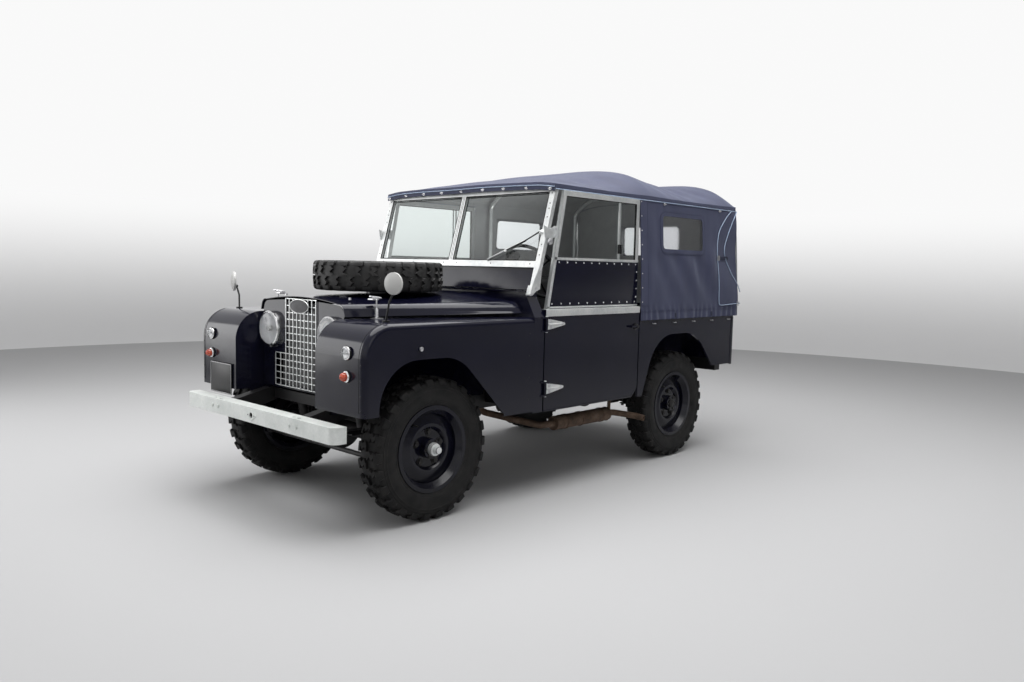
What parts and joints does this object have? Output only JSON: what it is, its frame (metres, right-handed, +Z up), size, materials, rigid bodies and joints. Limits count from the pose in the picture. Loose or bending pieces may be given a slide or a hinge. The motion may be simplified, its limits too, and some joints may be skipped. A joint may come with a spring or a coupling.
{
  "type": "light army 4x4 car with canvas hood",
  "caption": "Short open-bodied army 4x4 car with a canvas hood, galvanised trim and a spare wheel on the bonnet, as a jointed assembly.",
  "frame": {"origin": "centre of the car's footprint, on the ground under the tyres", "axes": "+X forward, +Y to the car's left, +Z up"},
  "size_m": [3.575, 1.594, 1.9283],
  "materials": {
    "navy_paint": "gloss",
    "chassis_black": "satin",
    "galvanised": "dull galvanised",
    "tyre": "matt",
    "canvas": "woven canvas",
    "clear_pane": "clear",
    "lamp_glass": "fluted",
    "amber_lens": "gloss",
    "red_lens": "gloss",
    "cast_alloy": "rough",
    "rusty_steel": "rusty",
    "seat_cloth": "satin",
    "black_bakelite": "satin"
  },
  "bodies": {
    "body": {"bulkhead": "navy_paint", "cab_controls": "chassis_black", "cab_floor": "navy_paint", "chassis_frame": "chassis_black", "engine_and_gearbox": "cast_alloy", "exhaust": "rusty_steel", "front_axle": "chassis_black", "front_bumper": "galvanised", "fuel_tank": "chassis_black", "grille": "galvanised", "headlamps": "lamp_glass", "hood_frame": "galvanised", "hood_rear": "canvas", "hood_roof": "canvas", "hood_sides": "canvas", "hood_windows": "clear_pane", "indicators": "amber_lens", "leaf_springs": "chassis_black", "mirrors": "chassis_black", "propshafts": "chassis_black", "radiator_core": "chassis_black", "radiator_panel": "navy_paint", "rear_axle": "chassis_black", "rear_lamps": "red_lens", "rear_tub": "navy_paint", "seat_backs": "seat_cloth", "seat_cushions": "seat_cloth", "sidelamps": "lamp_glass", "steering_column": "black_bakelite", "tow_jaw": "chassis_black", "windscreen_frame": "galvanised", "windscreen_glass": "clear_pane", "windscreen_panel": "navy_paint", "wing_left": "navy_paint", "wing_right": "navy_paint"},
    "door_left_body": {"door_left": "navy_paint", "side_screen_left": "galvanised", "side_glass_left": "clear_pane"},
    "door_right_body": {"door_right": "navy_paint", "side_screen_right": "galvanised", "side_glass_right": "clear_pane"},
    "bonnet_body": {"bonnet": "navy_paint", "spare_rim": "navy_paint", "spare_tyre": "tyre"},
    "tailgate_body": {"tailgate": "navy_paint"},
    "swivel_left": {"knuckle_left": "chassis_black"},
    "swivel_right": {"knuckle_right": "chassis_black"},
    "wheel_front_left": {"rim_front_left": "navy_paint", "tyre_front_left": "tyre"},
    "wheel_front_right": {"rim_front_right": "navy_paint", "tyre_front_right": "tyre"},
    "wheel_rear_left": {"rim_rear_left": "navy_paint", "tyre_rear_left": "tyre"},
    "wheel_rear_right": {"rim_rear_right": "navy_paint", "tyre_rear_right": "tyre"},
    "steering_wheel_body": {"steering_wheel": "black_bakelite"},
    "track_rod_body": {"track_rod": "chassis_black"}
  },
  "joints": [
    {"name": "steer_left", "type": "hinge", "parent": "body", "child": "swivel_left", "pos_m": [1.1875, 0.545, 0.363], "axis": [0, 0, 1], "range_deg": [-24, 24]},
    {"name": "steer_right", "type": "hinge", "parent": "body", "child": "swivel_right", "pos_m": [1.1875, -0.545, 0.363], "axis": [0, 0, 1], "range_deg": [-24, 24]},
    {"name": "track_rod_left_end", "type": "hinge", "parent": "swivel_left", "child": "track_rod_body", "pos_m": [1.3595, 0.545, 0.337], "axis": [0, 0, 1], "range_deg": [-24, 24]},
    {"name": "steering_wheel_turn", "type": "hinge", "parent": "body", "child": "steering_wheel_body", "pos_m": [0.0575, 0.34, 1.25], "axis": [-0.766, 0, 0.6428], "range_deg": [-528, 528]},
    {"name": "wheel_front_left_spin", "type": "hinge", "parent": "swivel_left", "child": "wheel_front_left", "pos_m": [1.1875, 0.635, 0.363], "axis": [0, 1, 0], "continuous": true},
    {"name": "wheel_rear_left_spin", "type": "hinge", "parent": "body", "child": "wheel_rear_left", "pos_m": [-0.9965, 0.635, 0.363], "axis": [0, 1, 0], "continuous": true},
    {"name": "wheel_front_right_spin", "type": "hinge", "parent": "swivel_right", "child": "wheel_front_right", "pos_m": [1.1875, -0.635, 0.363], "axis": [0, 1, 0], "continuous": true},
    {"name": "wheel_rear_right_spin", "type": "hinge", "parent": "body", "child": "wheel_rear_right", "pos_m": [-0.9965, -0.635, 0.363], "axis": [0, 1, 0], "continuous": true},
    {"name": "door_left_hinge", "type": "hinge", "parent": "body", "child": "door_left_body", "pos_m": [0.4435, 0.785, 0.607], "axis": [0, 0, -1], "range_deg": [0, 85]},
    {"name": "door_right_hinge", "type": "hinge", "parent": "body", "child": "door_right_body", "pos_m": [0.4435, -0.785, 0.607], "axis": [0, 0, 1], "range_deg": [0, 85]},
    {"name": "bonnet_hinge", "type": "hinge", "parent": "body", "child": "bonnet_body", "pos_m": [0.5435, 0, 1.12], "axis": [0, -1, 0], "range_deg": [0, 45]},
    {"name": "tailgate_hinge", "type": "hinge", "parent": "body", "child": "tailgate_body", "pos_m": [-1.6695, 0, 0.66], "axis": [0, -1, 0], "range_deg": [0, 90]}
  ],
  "couplings": [
    {"joint": "steer_right", "follows": "steer_left", "ratio": 1},
    {"joint": "track_rod_left_end", "follows": "steer_left", "ratio": -1},
    {"joint": "steering_wheel_turn", "follows": "steer_left", "ratio": 22}
  ]
}
